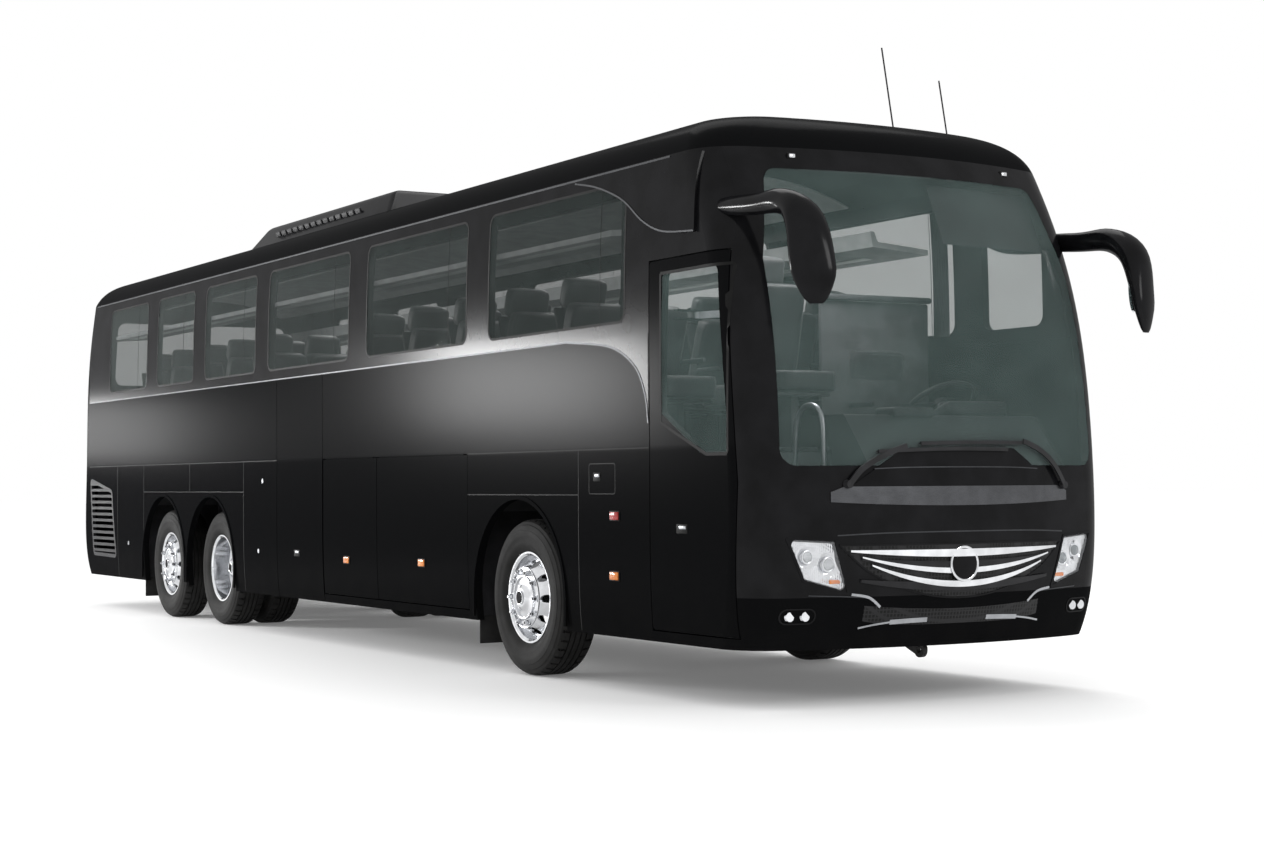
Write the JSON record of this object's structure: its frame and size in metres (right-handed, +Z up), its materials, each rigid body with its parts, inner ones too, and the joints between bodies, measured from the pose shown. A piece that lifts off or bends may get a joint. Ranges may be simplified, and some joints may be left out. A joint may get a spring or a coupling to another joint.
{
  "type": "coach bus",
  "caption": "Three-axle high-deck touring coach with outward-swinging doors, luggage flaps, steered front wheels, seats and a roof cooling unit.",
  "frame": {"origin": "on the ground under the middle of the bounding box", "axes": "+X forward, +Y to the driver's side (left), +Z up"},
  "size_m": [13.6862, 2.74, 3.962],
  "materials": {
    "body_paint": "satin metallic paint",
    "gloss_black": "gloss",
    "tinted_glass": "clear tinted",
    "screen_glass": "clear",
    "polished_alloy": "polished",
    "tyre": "matt",
    "chassis": "satin",
    "engine": "matt",
    "lamp": "clear",
    "red_lamp": "gloss",
    "trim": "matt",
    "floor": "matt",
    "seat_fabric": "woven",
    "rack": "satin",
    "bright": "polished",
    "steel": "satin"
  },
  "bodies": {
    "coach": {"roof": "body_paint", "window_bands": "gloss_black", "side_panels_right": "body_paint", "side_panels_left": "body_paint", "front_mask": "gloss_black", "bumpers": "body_paint", "rear_wall": "body_paint", "windscreen": "screen_glass", "windows": "tinted_glass", "headlamps": "lamp", "tail_lamps": "red_lamp", "grilles": "bright", "roof_unit": "gloss_black", "antennas": "trim", "mirrors": "gloss_black", "wipers": "trim", "underframe": "chassis", "cabin_floor": "floor", "engine_block": "engine", "seats": "seat_fabric", "dashboard": "trim", "steering_wheel": "trim", "luggage_racks": "rack", "wheel_housings": "trim", "front_axle": "chassis", "rear_axles": "chassis"},
    "front_door_arm": {"front_door_arm": "steel"},
    "front_door": {"front_door": "gloss_black", "front_door_glass": "tinted_glass"},
    "mid_door_arm": {"mid_door_arm": "steel"},
    "mid_door": {"mid_door": "body_paint"},
    "luggage_flap_front_right": {"luggage_flap_front_right": "body_paint"},
    "luggage_flap_rear_right": {"luggage_flap_rear_right": "body_paint"},
    "luggage_flap_front_left": {"luggage_flap_front_left": "body_paint"},
    "luggage_flap_rear_left": {"luggage_flap_rear_left": "body_paint"},
    "engine_lid": {"engine_lid": "body_paint"},
    "knuckle_left": {"knuckle_left": "chassis"},
    "knuckle_right": {"knuckle_right": "chassis"},
    "wheel_front_left": {"rim_front_left": "polished_alloy", "tyre_front_left": "tyre"},
    "wheel_front_right": {"rim_front_right": "polished_alloy", "tyre_front_right": "tyre"},
    "wheel_drive_left": {"rim_drive_left": "polished_alloy", "tyre_drive_left": "tyre"},
    "wheel_drive_right": {"rim_drive_right": "polished_alloy", "tyre_drive_right": "tyre"},
    "wheel_tag_left": {"rim_tag_left": "polished_alloy", "tyre_tag_left": "tyre"},
    "wheel_tag_right": {"rim_tag_right": "polished_alloy", "tyre_tag_right": "tyre"}
  },
  "joints": [
    {"name": "front_door_swing", "type": "hinge", "parent": "coach", "child": "front_door_arm", "pos_m": [5.845, -1.11, 1.2], "axis": [0, 0, 1], "range_deg": [0, 155]},
    {"name": "front_door_turn", "type": "hinge", "parent": "front_door_arm", "child": "front_door", "pos_m": [5.34563, -1.085, 1.2], "axis": [0, 0, 1], "range_deg": [-155, 0]},
    {"name": "mid_door_swing", "type": "hinge", "parent": "coach", "child": "mid_door_arm", "pos_m": [-0.81, -1.11, 1.2], "axis": [0, 0, -1], "range_deg": [0, 155]},
    {"name": "mid_door_turn", "type": "hinge", "parent": "mid_door_arm", "child": "mid_door", "pos_m": [-0.31062, -1.085, 1.2], "axis": [0, 0, -1], "range_deg": [-155, 0]},
    {"name": "luggage_flap_front_right_lift", "type": "hinge", "parent": "coach", "child": "luggage_flap_front_right", "pos_m": [1.8775, -1.27454, 1.453], "axis": [-1, 0, 0], "range_deg": [0, 88]},
    {"name": "luggage_flap_front_left_lift", "type": "hinge", "parent": "coach", "child": "luggage_flap_front_left", "pos_m": [1.8775, 1.27454, 1.453], "axis": [1, 0, 0], "range_deg": [0, 88]},
    {"name": "luggage_flap_rear_right_lift", "type": "hinge", "parent": "coach", "child": "luggage_flap_rear_right", "pos_m": [0.5665, -1.27454, 1.453], "axis": [-1, 0, 0], "range_deg": [0, 88]},
    {"name": "luggage_flap_rear_left_lift", "type": "hinge", "parent": "coach", "child": "luggage_flap_rear_left", "pos_m": [0.5665, 1.27454, 1.453], "axis": [1, 0, 0], "range_deg": [0, 88]},
    {"name": "engine_lid_lift", "type": "hinge", "parent": "coach", "child": "engine_lid", "pos_m": [-6.80865, 0, 1.694], "axis": [0, 1, 0], "range_deg": [0, 80]},
    {"name": "steer_left", "type": "hinge", "parent": "coach", "child": "knuckle_left", "pos_m": [3.405, 0.93, 0.51], "axis": [0, 0, 1], "range_deg": [-45, 45]},
    {"name": "wheel_front_left_spin", "type": "hinge", "parent": "knuckle_left", "child": "wheel_front_left", "pos_m": [3.405, 1.075, 0.51], "axis": [0, 1, 0], "continuous": true},
    {"name": "steer_right", "type": "hinge", "parent": "coach", "child": "knuckle_right", "pos_m": [3.405, -0.93, 0.51], "axis": [0, 0, 1], "range_deg": [-45, 45]},
    {"name": "wheel_front_right_spin", "type": "hinge", "parent": "knuckle_right", "child": "wheel_front_right", "pos_m": [3.405, -1.075, 0.51], "axis": [0, 1, 0], "continuous": true},
    {"name": "wheel_drive_left_spin", "type": "hinge", "parent": "coach", "child": "wheel_drive_left", "pos_m": [-2.685, 1.04, 0.51], "axis": [0, 1, 0], "continuous": true},
    {"name": "wheel_drive_right_spin", "type": "hinge", "parent": "coach", "child": "wheel_drive_right", "pos_m": [-2.685, -1.04, 0.51], "axis": [0, 1, 0], "continuous": true},
    {"name": "wheel_tag_left_spin", "type": "hinge", "parent": "coach", "child": "wheel_tag_left", "pos_m": [-4.035, 1.075, 0.51], "axis": [0, 1, 0], "continuous": true},
    {"name": "wheel_tag_right_spin", "type": "hinge", "parent": "coach", "child": "wheel_tag_right", "pos_m": [-4.035, -1.075, 0.51], "axis": [0, 1, 0], "continuous": true}
  ],
  "couplings": [
    {"joint": "front_door_turn", "follows": "front_door_swing", "ratio": -1},
    {"joint": "mid_door_turn", "follows": "mid_door_swing", "ratio": -1},
    {"joint": "steer_right", "follows": "steer_left", "ratio": 1}
  ]
}
